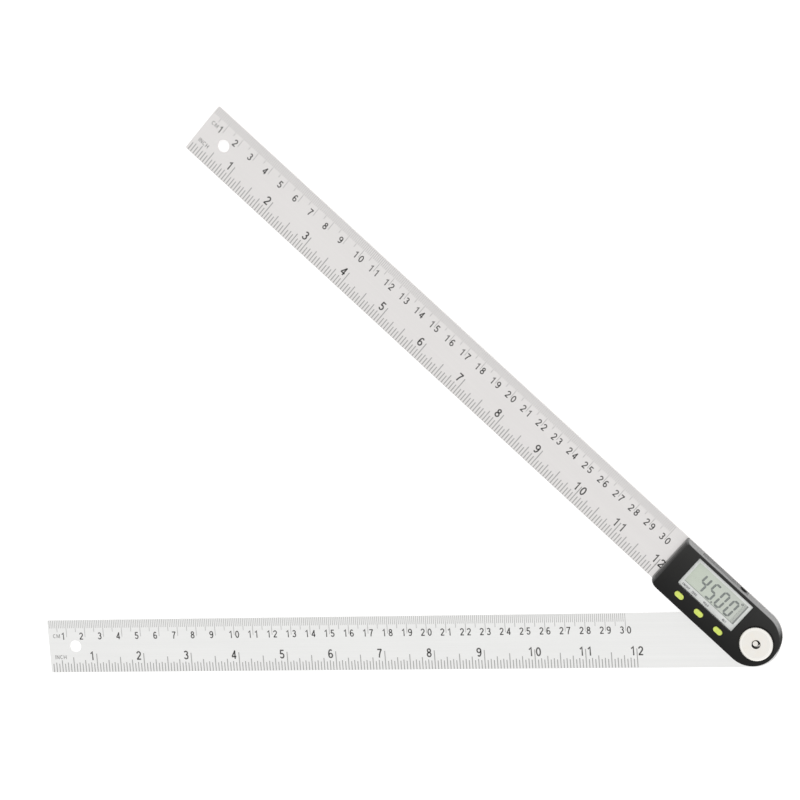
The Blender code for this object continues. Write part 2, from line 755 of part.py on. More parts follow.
def button_places():
    """Button centres from the far end to the hinge."""
    middle = (BUTTON_COUNT - 1) / 2
    return [
        (window_middle_x + BUTTON_PITCH * (index - middle), button_y)
        for index in range(BUTTON_COUNT)
    ]


def cut_button_slots(shell):
    slot = stadium(BUTTON_LENGTH + 2 * FIT_GAP, BUTTON_WIDTH + 2 * FIT_GAP)
    for index, (x, y) in enumerate(button_places(), 1):
        outline = [(x + dx, y + dy) for dx, dy in slot]
        name = f"button_slot_{index}"
        outline_cut(shell, name, outline, ceiling_z - CUT_OVERRUN, face_z + CUT_OVERRUN)


def cut_tray_slot(shell):
    low = (tray_far_x - FIT_GAP, inner_radius - FIT_GAP, base_plate_top)
    high = (tray_face_near_x + FIT_GAP, half_width + CUT_OVERRUN, tray_slot_top)
    box_cut(shell, "tray_slot", low, high)


def make_lcd_frame():
    """A white frame under the window, with a wide strip on the buttons' side."""
    low = (window_far_x, window_bottom_y)
    high = (window_near_x, window_top_y)
    edge = rounded_box(low, high, WINDOW_CORNER_RADIUS)
    mesh = slab_mesh("lcd_frame", [edge], frame_top - frame_z)
    frame = add_piece("lcd_frame", mesh, frame_plastic, display_arm, (0, 0, frame_z))
    pocket_low = (window_far_x + FRAME_RIM, window_bottom_y + FRAME_RIM, frame_z - CUT_OVERRUN)
    pocket_top = glass_z + GLASS_THICKNESS + STACK_GAP
    pocket_high = (window_near_x - FRAME_RIM, window_top_y - FRAME_RIM, pocket_top)
    box_cut(frame, "glass_pocket", pocket_low, pocket_high)
    opening_low = (window_far_x + FRAME_SIDE_MARGIN, window_bottom_y + FRAME_LEGEND_STRIP)
    opening_high = (window_near_x - FRAME_SIDE_MARGIN, window_top_y - FRAME_SIDE_MARGIN)
    outline = rounded_box(opening_low, opening_high, WINDOW_CORNER_RADIUS)
    outline_cut(frame, "frame_opening", outline, glass_z, frame_top + CUT_OVERRUN)


def make_lcd_glass():
    inset = FRAME_RIM + FIT_GAP
    low = (window_far_x + inset, window_bottom_y + inset)
    high = (window_near_x - inset, window_top_y - inset)
    mesh = slab_mesh("lcd_glass", [rounded_box(low, high, WINDOW_CORNER_RADIUS)], GLASS_THICKNESS)
    add_piece("lcd_glass", mesh, display_glass, display_arm, (0, 0, glass_z))


def make_window_lens():
    low = (window_far_x, window_bottom_y)
    high = (window_near_x, window_top_y)
    mesh = slab_mesh("window_lens", [rounded_box(low, high, WINDOW_CORNER_RADIUS)], LENS_THICKNESS)
    lens = add_piece("window_lens", mesh, clear_plastic, display_arm, (0, 0, lens_z))
    bevel = lens.modifiers.new("edge", "BEVEL")
    bevel.limit_method = "ANGLE"
    bevel.angle_limit = RIGHT_EDGE_ANGLE
    bevel.width = LENS_EDGE_CHAMFER
    bevel.segments = 1


def make_circuit_board():
    """The board covers the cavity. It clears the bosses, the stud and the screws."""
    reach = end_reach(board_top, HOUSING_WALL) - BOARD_EDGE_GAP
    edge = arm_outline(
        reach, inner_radius - BOARD_EDGE_GAP, HOUSING_CORNER_RADIUS, HOUSING_ROUND_STEPS
    )
    bore = circle((0, 0), SPIGOT_RADIUS + BOARD_BORE_GAP)
    mesh = slab_mesh("circuit_board", [edge, bore], BOARD_THICKNESS)
    board = add_piece("circuit_board", mesh, board_green, display_arm, (0, 0, board_z))
    for index, place in enumerate(boss_places, 1):
        round_cut(
            board,
            f"board_notch_{index}",
            place,
            BOSS_RADIUS + BOARD_EDGE_GAP,
            board_z - CUT_OVERRUN,
            board_top + CUT_OVERRUN,
            SMALL_ROUND_STEPS,
        )


def make_controller_chip():
    half = CHIP_SIZE / 2
    top = board_z - STACK_GAP
    mesh = box_mesh("controller_chip", (-half, -half, -CHIP_THICKNESS), (half, half, 0))
    chip = add_piece("controller_chip", mesh, chip_black, display_arm, (far_bay_x, 0, top))
    bevel = chip.modifiers.new("edge", "BEVEL")
    bevel.width = CHIP_CHAMFER
    bevel.segments = 1


def make_dome_sheet():
    """A film on the board with a snap dome under each button."""
    half_length = BUTTON_PITCH * (BUTTON_COUNT - 1) / 2 + DOME_RADIUS + DOME_SHEET_MARGIN
    half_height = DOME_RADIUS + DOME_SHEET_MARGIN / 2
    edge = rounded_box((-half_length, -half_height), (half_length, half_height), DOME_SHEET_MARGIN)
    mesh = slab_mesh("dome_sheet", [edge], DOME_SHEET_THICKNESS)
    place = (window_middle_x, button_y, dome_sheet_z)
    sheet = add_piece("dome_sheet", mesh, film, display_arm, place)
    overlap = DOME_SHEET_THICKNESS / 2
    for index, (x, y) in enumerate(button_places(), 1):
        name = f"dome_{index}"
        dome = cone_mesh(name, DOME_RADIUS, DOME_TOP_RADIUS, DOME_HEIGHT + overlap)
        low = dome_sheet_z + DOME_SHEET_THICKNESS - overlap
        combine(sheet, add_cutter(name, dome, display_arm, (x, y, low)), "UNION")


def make_contact_negative():
    """A flat leaf under the board that presses on the middle of the cell."""
    half_length = CONTACT_LENGTH / 2
    half = CONTACT_WIDTH / 2
    edge = stadium(CONTACT_LENGTH, CONTACT_WIDTH)
    low_z = board_z - STACK_GAP - CONTACT_THICKNESS
    mesh = slab_mesh("contact_negative", [edge], CONTACT_THICKNESS)
    place = (cell_x + half_length - half, cell_y, low_z)
    add_piece("contact_negative", mesh, contact_metal, display_arm, place)


def make_contact_positive():
    """A bent leaf whose leg touches the cell's edge through a notch in the tray."""
    half = CONTACT_WIDTH / 2
    top = board_z - STACK_GAP
    leg_y = cell_y - CELL_RADIUS - FIT_GAP - CONTACT_THICKNESS
    foot_low = (cell_x - half, leg_y - CONTACT_FOOT, top - CONTACT_THICKNESS)
    foot_high = (cell_x + half, leg_y + CONTACT_THICKNESS / 2, top)
    foot = add_piece(
        "contact_positive", box_mesh("contact_positive", foot_low, foot_high), contact_metal, display_arm
    )
    leg_low = (cell_x - half, leg_y, top - CONTACT_LEG_DROP)
    leg_high = (cell_x + half, leg_y + CONTACT_THICKNESS, top)
    leg = add_cutter("contact_leg", box_mesh("contact_leg", leg_low, leg_high), display_arm)
    combine(foot, leg, "UNION")


def make_housing_screws():
    """Countersunk screws with a cross recess, from the rule's back into the bosses."""
    neck_z = SCREW_HEAD_DEPTH
    profile = [
        (0, SCREW_LENGTH),
        (SCREW_RADIUS, SCREW_LENGTH),
        (SCREW_RADIUS, neck_z),
        (SCREW_HEAD_RADIUS, 0),
        (0, 0),
    ]
    for index, (x, y) in enumerate(boss_places, 1):
        name = f"housing_screw_{index}"
        mesh = turned_mesh(name, profile)
        screw = spin(
            add_piece(name, mesh, screw_steel, display_arm, (x, y, display_rule_z)), SMALL_ROUND_STEPS
        )
        wide, thin = SCREW_CROSS_REACH, SCREW_CROSS_WIDTH / 2
        for part, (a, b) in (("across", (wide, thin)), ("along", (thin, wide))):
            low = (-a, -b, -CUT_OVERRUN)
            high = (a, b, SCREW_CROSS_DEPTH)
            slot_name = f"screw_slot_{part}_{index}"
            slot = box_mesh(slot_name, low, high)
            place = (x, y, display_rule_z)
            combine(screw, add_cutter(slot_name, slot, display_arm, place))


def make_buttons():
    """Each button is a half-round ended cap on a wider flange, which the face keeps in."""
    low = dome_top + STACK_GAP + BUTTON_TRAVEL
    flange_top = ceiling_z - FIT_GAP
    overlap = (flange_top - low) / 2
    cap_height = face_z + BUTTON_PROUD - flange_top + overlap
    wide = 2 * BUTTON_FLANGE_WIDTH
    names = ("button_left", "button_middle", "button_right")
    for name, (x, y) in zip(names, button_places(), strict=True):
        cap_mesh = slab_mesh(name, [stadium(BUTTON_LENGTH, BUTTON_WIDTH)], cap_height)
        place = (x, y, flange_top - overlap)
        cap = add_piece(name, cap_mesh, button_plastic, display_arm, place)
        round_top_edge(cap, BUTTON_TOP_ROUND, BUTTON_TOP_STEPS)
        flange_name = f"{name}_flange"
        flange_edge = stadium(BUTTON_LENGTH + wide, BUTTON_WIDTH + wide)
        flange_mesh = slab_mesh(flange_name, [flange_edge], flange_top - low)
        flange = add_cutter(flange_name, flange_mesh, display_arm, (x, y, low))
        combine(cap, flange, "UNION")


def tray_outline():
    """The tray's body: straight sides from the housing's wall, and a round inner end about the cell."""
    outer_y = inner_radius + HOUSING_WALL / 2 - cell_y
    inner_end = arc((0, 0), tray_half_width, math.pi, math.pi, HOUSING_ROUND_STEPS)
    return [(tray_half_width, outer_y), (-tray_half_width, outer_y), *inner_end]


def make_battery_tray():
    """A drawer for the coin cell. Its face closes the slot in the housing's side."""
    wall_top = cell_top - CELL_ABOVE_TRAY
    mesh = slab_mesh("battery_tray", [tray_outline()], wall_top - tray_z)
    tray = add_piece("battery_tray", mesh, tray_plastic, display_arm, (cell_x, cell_y, tray_z))
    face_low = (tray_far_x, inner_radius, tray_z)
    face_high = (tray_face_near_x, half_width, tray_slot_top - FIT_GAP)
    face = add_cutter("tray_face", box_mesh("tray_face", face_low, face_high), display_arm)
    combine(tray, face, "UNION")
    pocket_top = cell_top + CUT_OVERRUN
    centre = (cell_x, cell_y)
    round_cut(tray, "cell_pocket", centre, cell_pocket_radius, tray_z + TRAY_FLOOR, pocket_top)
    hole_radius = cell_pocket_radius - TRAY_FLOOR_LIP
    round_cut(tray, "push_hole", centre, hole_radius, tray_z - CUT_OVERRUN, pocket_top)
    half = CONTACT_WIDTH / 2 + FIT_GAP
    notch_low = (cell_x - half, tray_inner_y - CUT_OVERRUN, tray_z + TRAY_FLOOR)
    notch_high = (cell_x + half, cell_y - CELL_RADIUS + FIT_GAP, pocket_top)
    box_cut(tray, "contact_notch", notch_low, notch_high)
    cut_tray_grip(tray)


def cut_tray_grip(tray):
    """A fingernail groove along the near end of the tray's face."""
    reach = TRAY_GRIP_RADIUS - TRAY_GRIP_DEPTH
    centre_x = tray_near_x + TRAY_GRIP_LENGTH / 2
    height = tray_slot_top - tray_z + 2 * CUT_OVERRUN
    mesh = cone_mesh("tray_grip", TRAY_GRIP_RADIUS, TRAY_GRIP_RADIUS, height)
    place = (centre_x, half_width + reach, tray_z - CUT_OVERRUN)
    combine(tray, add_cutter("tray_grip", mesh, display_arm, place))


def make_coin_cell():
    """The cell's can with its smaller cap on top."""
    cap_radius = CELL_RADIUS - CELL_STEP
    can_top = CELL_THICKNESS - CELL_STEP_HEIGHT
    profile = [
        (0, CELL_THICKNESS),
        (cap_radius, CELL_THICKNESS),
        (cap_radius, can_top),
        (CELL_RADIUS - CELL_EDGE_ROUND, can_top),
        (CELL_RADIUS, can_top - CELL_EDGE_ROUND),
        (CELL_RADIUS, CELL_EDGE_ROUND),
        (CELL_RADIUS - CELL_EDGE_ROUND, 0),
        (0, 0),
    ]
    mesh = turned_mesh("coin_cell", profile)
    spin(add_piece("coin_cell", mesh, cell_steel, display_arm, (cell_x, cell_y, cell_z)))


def make_lock_knob():
    """A flat knob with a straight-knurled rim, a threaded hole and the stud's end showing in it."""
    hole = THREAD_RADIUS + RUNNING_GAP
    top = KNOB_THICKNESS
    profile = [
        (hole, top - KNOB_HOLE_CHAMFER),
        (hole + KNOB_HOLE_CHAMFER, top),
        (KNOB_RADIUS - KNOB_TOP_CHAMFER, top),
        (KNOB_RADIUS, top - KNOB_TOP_CHAMFER),
        (KNOB_RADIUS, KNOB_BOTTOM_CHAMFER),
        (KNOB_RADIUS - KNOB_BOTTOM_CHAMFER, 0),
        (hole, 0),
    ]
    place = (0, 0, knob_z)
    mesh = turned_mesh("lock_knob", profile, True)
    knob = spin(add_piece("lock_knob", mesh, knob_steel, lower_arm, place), 2 * KNURL_COUNT)
    outline = []
    for tooth in range(KNURL_COUNT):
        for part, radius in ((0, KNOB_RADIUS + KNURL_CREST_RISE), (1, KNOB_RADIUS - KNURL_DEPTH)):
            angle = math.tau * (2 * tooth + part) / (2 * KNURL_COUNT)
            outline.append((radius * math.cos(angle), radius * math.sin(angle)))
    knurl = slab_mesh("knurl", [outline], KNOB_THICKNESS + 2 * CUT_OVERRUN)
    below = (0, 0, knob_z - CUT_OVERRUN)
    combine(knob, add_cutter("knurl", knurl, lower_arm, below), "INTERSECT")


make_lower_rule()
make_pivot_stud()
make_blade_washer()
make_wave_washer()
make_retaining_ring()
make_encoder_rotor()
make_display_rule()
make_pivot_bush()
make_base_plate()
make_front_housing()
make_lcd_frame()
make_lcd_glass()
make_window_lens()
make_circuit_board()
make_controller_chip()
make_dome_sheet()
make_contact_negative()
make_contact_positive()
make_housing_screws()
make_buttons()
make_battery_tray()
make_coin_cell()
make_lock_knob()
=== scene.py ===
"""The look of the angle finder: finishes, printed scales, display figures, and a soft studio.

Lengths are in metres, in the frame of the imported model: the hinge axis is the Z axis and the
lower rule lies along -X. The display arm is turned by the angle between the arms. What is on it
is laid out in its own frame, where it too lies along -X with its centimetre edge at +Y.
"""

import math
from collections import namedtuple

import bmesh
import bpy
from mathutils import Matrix, Vector


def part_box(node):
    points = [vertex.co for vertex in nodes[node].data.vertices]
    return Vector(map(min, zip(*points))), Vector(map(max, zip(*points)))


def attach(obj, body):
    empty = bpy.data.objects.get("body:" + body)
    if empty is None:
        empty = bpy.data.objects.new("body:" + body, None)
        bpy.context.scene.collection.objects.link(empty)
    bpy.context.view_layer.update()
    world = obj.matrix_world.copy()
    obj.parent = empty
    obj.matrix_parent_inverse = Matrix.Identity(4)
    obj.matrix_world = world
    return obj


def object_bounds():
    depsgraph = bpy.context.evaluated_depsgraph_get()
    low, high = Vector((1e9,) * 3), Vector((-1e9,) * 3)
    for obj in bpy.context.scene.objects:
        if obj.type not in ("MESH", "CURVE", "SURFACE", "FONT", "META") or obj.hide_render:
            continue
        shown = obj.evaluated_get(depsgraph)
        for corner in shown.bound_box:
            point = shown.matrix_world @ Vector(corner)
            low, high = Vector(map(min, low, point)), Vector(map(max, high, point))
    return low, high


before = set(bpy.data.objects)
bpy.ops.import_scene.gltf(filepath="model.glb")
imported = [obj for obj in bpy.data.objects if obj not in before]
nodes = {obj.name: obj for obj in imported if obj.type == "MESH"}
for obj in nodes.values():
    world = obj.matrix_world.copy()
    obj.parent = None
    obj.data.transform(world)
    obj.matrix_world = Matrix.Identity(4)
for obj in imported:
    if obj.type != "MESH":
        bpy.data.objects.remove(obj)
cad_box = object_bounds()

MM = 0.001
ARM_ANGLE = math.radians(45)
TURN = {
    "lower_arm": Matrix.Identity(4),
    "display_arm": Matrix.Rotation(-ARM_ANGLE, 4, "Z"),
}
RULE_REACH = 0.3652
RULE_HALF_WIDTH = 0.013575
# How far printing lies above the face that carries it
PRINT_LIFT = 0.00002


# Node trees

# Nearly all of a noise's values lie in this range
NOISE_RANGE = (0.3, 0.7)
# Cosines between a normal and the rounded one: on flat ground, and on an edge
FLAT_COSINE = 0.995
EDGE_COSINE = 0.86
# The least and most of the wear on a rubbed edge
RUB_SHARES = (0.3, 1.0)
WHITE = (1.0, 1.0, 1.0, 1.0)


def scaled(colour, share):
    return tuple(min(part * share, 1.0) for part in colour)


def lifted(colour, step):
    return tuple(part + step for part in colour)


class Tree:
    """The nodes of a material or a world, with short calls for the ones used here."""

    def __init__(self, owner, shader="Principled BSDF"):
        owner.use_nodes = True
        self.owner = owner
        self.nodes = owner.node_tree.nodes
        self.links = owner.node_tree.links
        self.shader = self.nodes[shader]

    def add(self, kind, **settings):
        node = self.nodes.new(kind)
        for key, value in settings.items():
            setattr(node, key, value)
        return node

    def feed(self, socket, value):
        if isinstance(value, bpy.types.NodeSocket):
            self.links.new(value, socket)
        else:
            socket.default_value = value

    def set(self, **values):
        """Sets or links inputs of the main shader, named with underscores."""
        for key, value in values.items():
            self.feed(self.shader.inputs[key.replace("_", " ")], value)

    def math(self, operation, *values):
        node = self.add("ShaderNodeMath", operation=operation)
        for socket, value in zip(node.inputs, values):
            self.feed(socket, value)
        return node.outputs[0]

    def product(self, first, second):
        return self.math("MULTIPLY", first, second)

    def vector(self, operation, *values, output="Vector"):
        node = self.add("ShaderNodeVectorMath", operation=operation)
        for socket, value in zip(node.inputs, values):
            self.feed(socket, value)
        return node.outputs[output]

    def coordinates(self, kind):
        return self.add("ShaderNodeTexCoord").outputs[kind]

    def axes(self, vector):
        """The X, Y and Z of a vector."""
        node = self.add("ShaderNodeSeparateXYZ")
        self.feed(node.inputs[0], vector)
        return node.outputs

    def place(self, turn=0.0, scale=(1, 1, 1)):
        """Object coordinates, turned about Z into an arm's own frame and then stretched."""
        point = self.coordinates("Object")
        if turn:
            spin = self.add("ShaderNodeVectorRotate", rotation_type="Z_AXIS")
            self.feed(spin.inputs["Vector"], point)
            spin.inputs["Angle"].default_value = turn
            point = spin.outputs[0]
        return self.vector("MULTIPLY", point, scale)

    def noise(self, where, detail=2.0, roughness=0.5):
        node = self.add("ShaderNodeTexNoise")
        self.feed(node.inputs["Vector"], where)
        node.inputs["Scale"].default_value = 1.0
        node.inputs["Detail"].default_value = detail
        node.inputs["Roughness"].default_value = roughness
        return node.outputs[0]

    def cloud(self, scale, turn=0.0, **settings):
        """Noise that is as fine one way as another."""
        return self.noise(self.place(turn, (scale, scale, scale)), **settings)

    def span(self, value, low, high, to_low=0.0, to_high=1.0):
        """Maps low to to_low and high to to_high, and holds them beyond."""
        node = self.add("ShaderNodeMapRange")
        for socket, part in zip(node.inputs, (value, low, high, to_low, to_high)):
            self.feed(socket, part)
        return node.outputs[0]

    def spread(self, noise, to_low=0.0, to_high=1.0):
        """Maps the noise's usual range."""
        return self.span(noise, *NOISE_RANGE, to_low, to_high)

    def vary(self, noise, middle, down, up):
        """A value that the noise takes down and up from its middle."""
        return self.spread(noise, middle - down, middle + up)

    def mix(self, share, first, second):
        node = self.add("ShaderNodeMix", data_type="RGBA")
        self.feed(node.inputs[0], share)
        for socket, colour in ((node.inputs[6], first), (node.inputs[7], second)):
            if isinstance(colour, tuple):
                colour = (*colour, 1.0)
            self.feed(socket, colour)
        return node.outputs[2]

    def shades(self, noise, colour, low, high):
        """The colour times low to high, as the noise goes."""
        return self.mix(self.spread(noise), scaled(colour, low), scaled(colour, high))

    def patch(self, shade, noise, colour, share, reach=NOISE_RANGE):
        """The shade with up to a share of a colour where the noise rises through its reach."""
        return self.mix(self.span(noise, *reach, 0.0, share), shade, colour)

    def tint(self, shade, mask, colour, share):
        """The shade with a share of a colour where the mask is 1."""
        return self.mix(self.product(mask, share), shade, colour)

    def edge(self, radius):
        """1 where the surface turns within radius, and 0 on flat ground."""
        bevel = self.add("ShaderNodeBevel", samples=6)
        bevel.inputs["Radius"].default_value = radius
        flat = self.add("ShaderNodeNewGeometry").outputs["Normal"]
        cosine = self.vector("DOT_PRODUCT", bevel.outputs[0], flat, output="Value")
        return self.span(cosine, FLAT_COSINE, EDGE_COSINE)

    def rubbed(self, radius, cloud):
        """The edges within radius, worn in patches."""
        return self.product(self.edge(radius), self.spread(cloud, *RUB_SHARES))

    def bump(self, height, distance, strength):
        node = self.add("ShaderNodeBump")
        self.feed(node.inputs["Height"], height)
        node.inputs["Distance"].default_value = distance
        node.inputs["Strength"].default_value = strength
        return node.outputs[0]

    def seen_directly(self):
        """1 on camera, glossy and transmission rays, and 0 on those that light the object."""
        path = self.add("ShaderNodeLightPath")
        total = path.outputs["Is Camera Ray"]
        for name in ("Is Glossy Ray", "Is Transmission Ray"):
            total = self.math("MAXIMUM", total, path.outputs[name])
        return total


def surface(name):
    return Tree(bpy.data.materials.new(name))


# Finishes. The scales of their noises are in waves per metre

BRUSH_LINES = (14.0, 2600.0, 2600.0)
BRUSH_BANDS = tuple(part * 0.16 for part in BRUSH_LINES)
BRUSH_SMUDGES = (28.0, 60.0, 60.0)
BRUSH_LINE_SHARE = 0.55
BRUSH_BAND_SHARE = 0.45
BRUSH_EDGE = 0.3 * MM
BRUSH_DEPTH = 0.0012 * MM


def brushed_metal(name, colour, turn=0.0, rough=0.36):
    """Metal with fine lines along an arm, faint longer bands, and slightly worn edges."""
    tree = surface(name)
    fine = tree.noise(tree.place(turn, BRUSH_LINES), detail=3.0, roughness=0.6)
    wide = tree.noise(tree.place(turn, BRUSH_BANDS))
    smudge = tree.noise(tree.place(turn, BRUSH_SMUDGES), detail=3.0, roughness=0.55)
    fine_part = tree.product(fine, BRUSH_LINE_SHARE)
    tone = tree.math("ADD", fine_part, tree.product(wide, BRUSH_BAND_SHARE))
    shade = tree.shades(tone, colour, low=0.97, high=1.03)
    shade = tree.patch(shade, smudge, scaled(colour, 0.96), share=0.35, reach=(0.35, 0.75))
    shade = tree.tint(shade, tree.edge(BRUSH_EDGE), scaled(colour, 1.1), share=0.5)
    rough_lines = tree.vary(tone, rough, down=0.03, up=0.04)
    rough_smudges = tree.vary(smudge, 0.0, down=0.02, up=0.03)
    tree.set(
        Base_Color=shade,
        Metallic=1.0,
        Roughness=tree.math("ADD", rough_lines, rough_smudges),
        Normal=tree.bump(tone, BRUSH_DEPTH, strength=0.6),
    )
    return tree.owner


# Painted shadow: the depth of the knob's bore and the stud's tip within it are painted dark on
# the side away from this point beside the axis
BORE_LIT_POINT = (-0.26 * MM, 0.37 * MM, 0.0)
BORE_HEIGHTS = (11.0 * MM, 13.05 * MM)
BORE_SHADOW_COLOUR = (0.010, 0.009, 0.008)
BORE_BLUR = 0.05 * MM
# Drops a vector's height, so that its length is the distance from the hinge axis
LEVEL = (1.0, 1.0, 0.0)


def bore_shade(tree, point, radius, reach, clear):
    """1 in the bore's painted shadow crescent: within reach of the axis, and clear of the lit
    point.
    """
    away = tree.vector("MULTIPLY", tree.vector("SUBTRACT", point, BORE_LIT_POINT), LEVEL)
    distance = tree.vector("LENGTH", away, output="Value")
    shadow_crescent = tree.span(distance, clear, clear + BORE_BLUR)
    inside = tree.span(radius, reach + BORE_BLUR, reach)
    height = tree.axes(point)["Z"]
    low, high = BORE_HEIGHTS
    above = tree.math("GREATER_THAN", height, low)
    below = tree.math("LESS_THAN", height, high)
    return tree.product(tree.product(shadow_crescent, inside), tree.product(above, below))


LATHE_RINGS = 5200.0
LATHE_CLOUD = 260.0
LATHE_WARMTH = (1.0, 0.975, 0.94)
LATHE_EDGE = 0.25 * MM
LATHE_DEPTH = 0.0008 * MM
# Distances from the groove's radius at which its line of painted shade begins and is full
GROOVE_LINE = (0.12 * MM, 0.04 * MM)
GROOVE_OUTSIDE = 1.05


def turned_metal(name, colour, rough=0.34, spread=0.5, bore=None, groove=None):
    """Metal turned on a lathe about the hinge axis: fine rings and a sheen that fans out.

    bore is the reach and clearance of the painted shadow crescent, and groove the radius of a
    fine line of painted shade round the face.
    """
    tree = surface(name)
    point = tree.coordinates("Object")
    radius = tree.vector("LENGTH", tree.vector("MULTIPLY", point, LEVEL), output="Value")
    along = tree.add("ShaderNodeCombineXYZ")
    tree.feed(along.inputs[0], tree.product(radius, LATHE_RINGS))
    ring = tree.noise(along.outputs[0], roughness=0.6)
    warm = tuple(part * share for part, share in zip(colour, LATHE_WARMTH))
    shade = tree.shades(ring, colour, low=0.94, high=1.04)
    shade = tree.patch(shade, tree.cloud(LATHE_CLOUD), warm, share=0.7, reach=(0.45, 0.7))
    shade = tree.tint(shade, tree.edge(LATHE_EDGE), scaled(colour, 1.15), share=0.6)
    # Painted groove: a thin line of painted shade round the face, and the face outside it made a
    # little lighter
    if groove:
        off_groove = tree.math("ABSOLUTE", tree.math("SUBTRACT", radius, groove))
        line = tree.span(off_groove, *GROOVE_LINE)
        outside = tree.math("GREATER_THAN", radius, groove)
        shade = tree.tint(shade, line, scaled(colour, 0.84), share=0.6)
        shade = tree.mix(outside, shade, scaled(colour, GROOVE_OUTSIDE))
    # Painted shadow: the bore's dark crescent
    if bore:
        shade = tree.mix(bore_shade(tree, point, radius, *bore), shade, BORE_SHADOW_COLOUR)
    tangent = tree.add("ShaderNodeTangent", direction_type="RADIAL", axis="Z")
    tree.set(
        Base_Color=shade,
        Metallic=1.0,
        Roughness=tree.vary(ring, rough, down=0.04, up=0.05),
        Anisotropic=spread,
        Tangent=tangent.outputs[0],
        Normal=tree.bump(ring, LATHE_DEPTH, strength=0.5),
    )
    return tree.owner


MOULD_GRIT = 5200.0
MOULD_CLOUD = 90.0
MOULD_EDGE = 0.4 * MM
MOULD_DEPTH = 0.006 * MM
GRIT_REACH = (0.35, 0.65)
GRIT_SHARE = 0.25


def moulded_plastic(name, colour, rough, wear=0.35, sheen=0.02):
    """Moulded plastic with a fine spark-eroded grain, faint flow marks and rubbed edges."""
    tree = surface(name)
    grit = tree.cloud(MOULD_GRIT, roughness=0.6)
    cloud = tree.cloud(MOULD_CLOUD, detail=3.0)
    shade = tree.shades(cloud, colour, low=0.88, high=1.14)
    shade = tree.patch(shade, grit, scaled(colour, 0.7), GRIT_SHARE, GRIT_REACH)
    shade = tree.tint(shade, tree.rubbed(MOULD_EDGE, cloud), lifted(colour, 0.06), wear)
    tree.set(
        Base_Color=shade,
        Roughness=tree.vary(cloud, rough, down=0.05, up=0.05),
        Sheen_Weight=sheen,
        Normal=tree.bump(grit, MOULD_DEPTH, strength=0.35),
    )
    return tree.owner


SHELL_CLOUD = 70.0
SHELL_EDGE = 0.3 * MM
SHELL_DEPTH = 0.005 * MM
# Roughness of the face and of the walls, and how much of it full polish takes away
SHELL_ROUGH = (0.5, 0.9)
SHELL_POLISHING = 0.6
# Upright parts of a normal between which the face gives way to the walls
SHELL_WALL = (0.82, 0.30)
# X + Y of a normal as a wall turns to the battery side, and Y - X as it turns to the end that
# is far from the knob, which is a little less polished
SHELL_SIDE = (1.0, 1.38)
SHELL_END = (0.5, 0.9)
SHELL_END_SHARE = 0.85
# Shares of the colour at the button side and at the battery side: a painted sheen, lighter towards
# the battery side
SHELL_SHEEN_SHARES = (0.62, 2.27)


def shell_plastic(name, colour, polish):
    """The shell: fine matt grain, a polished long side that mirrors pale surroundings, and a
    painted sheen.
    """
    tree = surface(name)
    grit = tree.cloud(MOULD_GRIT, roughness=0.6)
    cloud = tree.cloud(SHELL_CLOUD, detail=3.0)
    normal = tree.axes(tree.coordinates("Normal"))
    wall = tree.span(tree.math("ABSOLUTE", normal["Z"]), *SHELL_WALL)
    side = tree.span(tree.math("ADD", normal["X"], normal["Y"]), *SHELL_SIDE)
    endward = tree.math("SUBTRACT", normal["Y"], normal["X"])
    end = tree.span(endward, *SHELL_END, 0.0, SHELL_END_SHARE)
    gloss = tree.product(wall, tree.math("MAXIMUM", side, end))
    polished = tree.product(gloss, polish)
    # Painted sheen: across the arm the colour rises from the button side to the battery side
    across = tree.axes(tree.place(ARM_ANGLE))["Y"]
    sheen_side = tree.span(across, -RULE_HALF_WIDTH, RULE_HALF_WIDTH)
    shade = tree.mix(sheen_side, *[scaled(colour, share) for share in SHELL_SHEEN_SHARES])
    shade = tree.patch(shade, cloud, scaled(colour, 1.2), share=0.3)
    shade = tree.patch(shade, grit, scaled(colour, 0.6), GRIT_SHARE, GRIT_REACH)
    rub = tree.rubbed(SHELL_EDGE, cloud)
    shade = tree.tint(shade, rub, lifted(colour, 0.05), share=0.4)
    matt = tree.span(wall, 0.0, 1.0, *SHELL_ROUGH)
    tree.set(
        Base_Color=shade,
        Roughness=tree.math("SUBTRACT", matt, tree.product(polished, SHELL_POLISHING)),
        Specular_IOR_Level=0.1,
        Coat_Weight=polished,
        Coat_Roughness=0.12,
        Coat_IOR=1.8,
        Normal=tree.bump(grit, SHELL_DEPTH, strength=0.3),
    )
    return tree.owner


RUBBER_CLOUD = 420.0
RUBBER_GRIT = 6000.0
RUBBER_EDGE = 0.3 * MM
RUBBER_DEPTH = 0.003 * MM
RUBBER_GLOW = 1.2 * MM
RUBBER_RIM = (0.86, 0.93, 0.42)


def soft_button(name, colour):
    """Slightly translucent moulded rubber."""
    tree = surface(name)
    cloud = tree.cloud(RUBBER_CLOUD)
    shade = tree.shades(cloud, colour, low=0.93, high=1.05)
    shade = tree.tint(shade, tree.edge(RUBBER_EDGE), RUBBER_RIM, share=0.5)
    tree.set(
        Base_Color=shade,
        Roughness=tree.spread(cloud, 0.38, 0.5),
        Subsurface_Weight=0.2,
        Subsurface_Scale=RUBBER_GLOW,
        Subsurface_Radius=(0.9, 1.0, 0.3),
        Normal=tree.bump(tree.cloud(RUBBER_GRIT), RUBBER_DEPTH, strength=0.3),
    )
    return tree.owner


WINDOW_HAZE = (60.0, 240.0, 60.0)
WINDOW_COLOUR = (0.97, 0.98, 0.98, 1.0)


def clear_window(name):
    """A clear window: it lets nearly everything through and keeps a weak reflection."""
    tree = surface(name)
    haze = tree.noise(tree.place(ARM_ANGLE, WINDOW_HAZE), detail=3.0, roughness=0.6)
    tree.set(
        Base_Color=WINDOW_COLOUR,
        Roughness=tree.spread(haze, 0.03, 0.08),
        Alpha=tree.spread(haze, 0.05, 0.08),
        IOR=1.46,
    )
    return tree.owner


